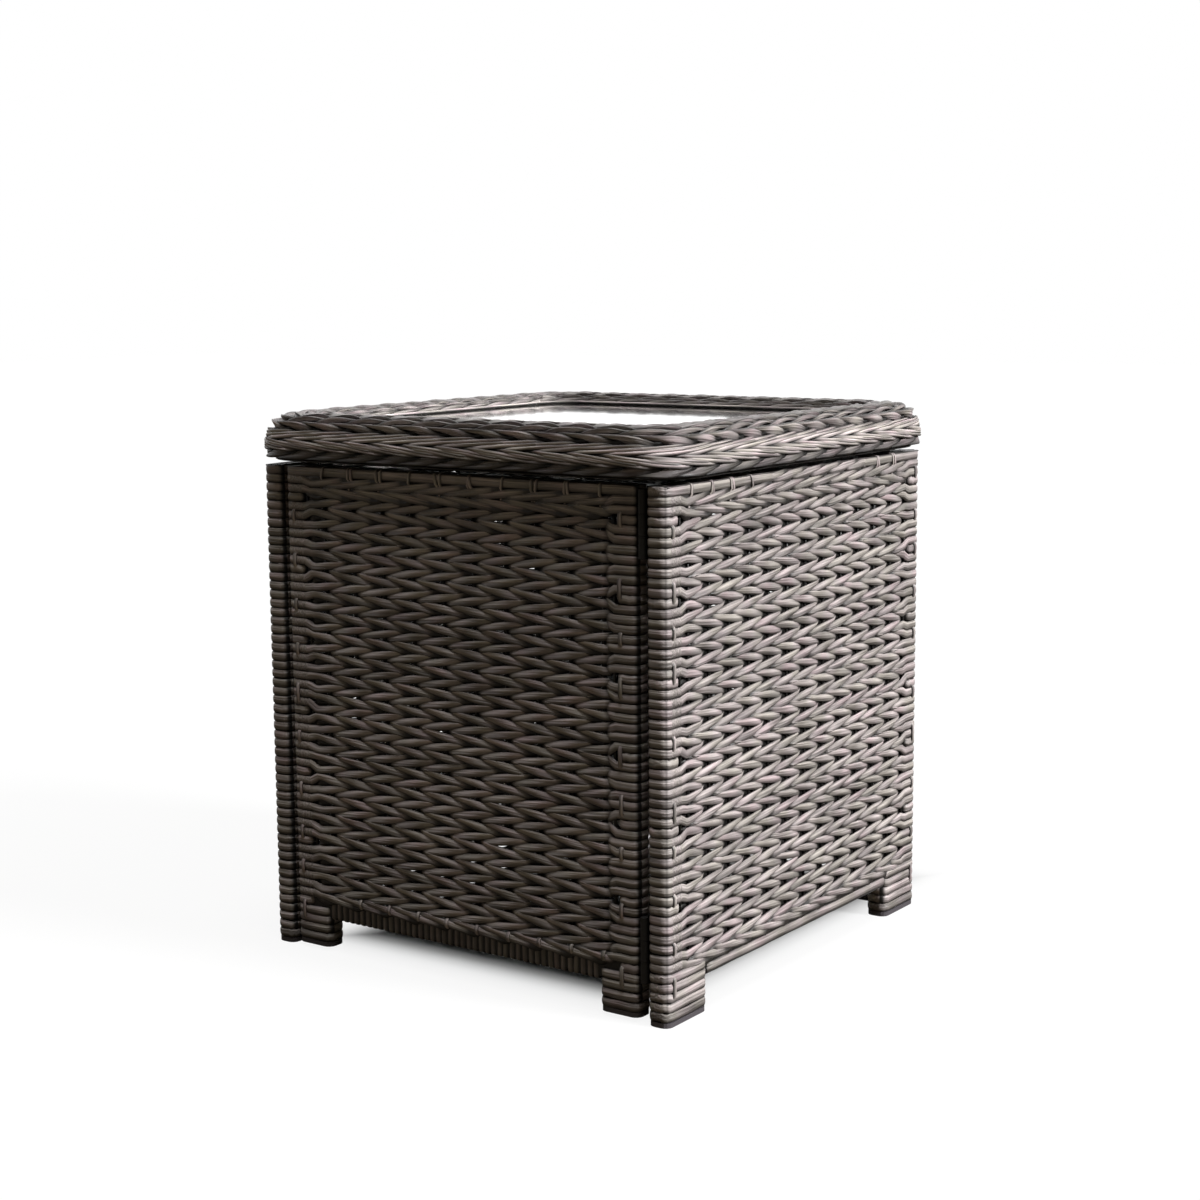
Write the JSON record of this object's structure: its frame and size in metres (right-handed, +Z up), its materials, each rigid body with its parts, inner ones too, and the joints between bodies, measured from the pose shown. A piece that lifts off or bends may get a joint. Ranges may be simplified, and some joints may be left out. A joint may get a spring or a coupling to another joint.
{
  "type": "propane tank cover table",
  "caption": "Square woven side table on tube frames, open below to stand over a gas tank, with a hinged front panel and a lift-off lid that holds a glass top.",
  "frame": {"origin": "centre of the footprint on the floor", "axes": "+Z up, the hinged front panel faces -Y, its hinge is on the +X side"},
  "size_m": [0.508, 0.508, 0.5417],
  "materials": {
    "wicker": "flat half-round woven resin strand, brown-grey, fine lengthwise grooves, satin",
    "lid_wicker": "braided resin strand, brown-grey, satin",
    "painted_tube": "dark brown powder coat on welded steel tube",
    "zinc_steel": "zinc-plated steel",
    "foot_plastic": "moulded dark grey plastic",
    "catch_plastic": "moulded brown plastic",
    "pad_rubber": "moulded rubber",
    "clear_plastic": "clear soft plastic",
    "glass": "clear tempered glass, polished edge"
  },
  "bodies": {
    "carcass": {"left_frame": "painted_tube", "left_weave": "wicker", "left_foot_cap_a": "foot_plastic", "left_foot_cap_b": "foot_plastic", "right_frame": "painted_tube", "right_weave": "wicker", "right_foot_cap_a": "foot_plastic", "right_foot_cap_b": "foot_plastic", "back_frame": "painted_tube", "back_weave": "wicker", "back_foot_cap_a": "foot_plastic", "back_foot_cap_b": "foot_plastic", "back_bolt_left_low": "zinc_steel", "back_bolt_left_high": "zinc_steel", "header_bolt_left": "zinc_steel", "back_bolt_right_low": "zinc_steel", "back_bolt_right_high": "zinc_steel", "header_bolt_right": "zinc_steel", "header_rail": "painted_tube", "magnet_catch": "catch_plastic", "upper_hinge_frame_leaf": "zinc_steel", "upper_hinge_pin": "zinc_steel", "lower_hinge_frame_leaf": "zinc_steel", "lower_hinge_pin": "zinc_steel"},
    "door": {"door_frame": "painted_tube", "door_weave": "wicker", "door_foot_cap_a": "foot_plastic", "door_foot_cap_b": "foot_plastic", "strike_plate": "zinc_steel", "upper_hinge_door_leaf": "zinc_steel", "lower_hinge_door_leaf": "zinc_steel"},
    "lid": {"lid_frame": "painted_tube", "lid_rim": "lid_wicker", "glass_top": "glass", "glass_bumper_front_left": "clear_plastic", "lid_pad_front_left": "pad_rubber", "glass_bumper_front_right": "clear_plastic", "lid_pad_front_right": "pad_rubber", "glass_bumper_rear_left": "clear_plastic", "lid_pad_rear_left": "pad_rubber", "glass_bumper_rear_right": "clear_plastic", "lid_pad_rear_right": "pad_rubber"}
  },
  "joints": [
    {"name": "door_hinge", "type": "hinge", "parent": "carcass", "child": "door", "pos_m": [0.213, -0.237, 0.25], "axis": [0, 0, 1], "range_deg": [0, 120]},
    {"name": "lid_lift", "type": "slide", "parent": "carcass", "child": "lid", "axis": [0, 0, 1], "range_m": [0, 0.12]}
  ]
}
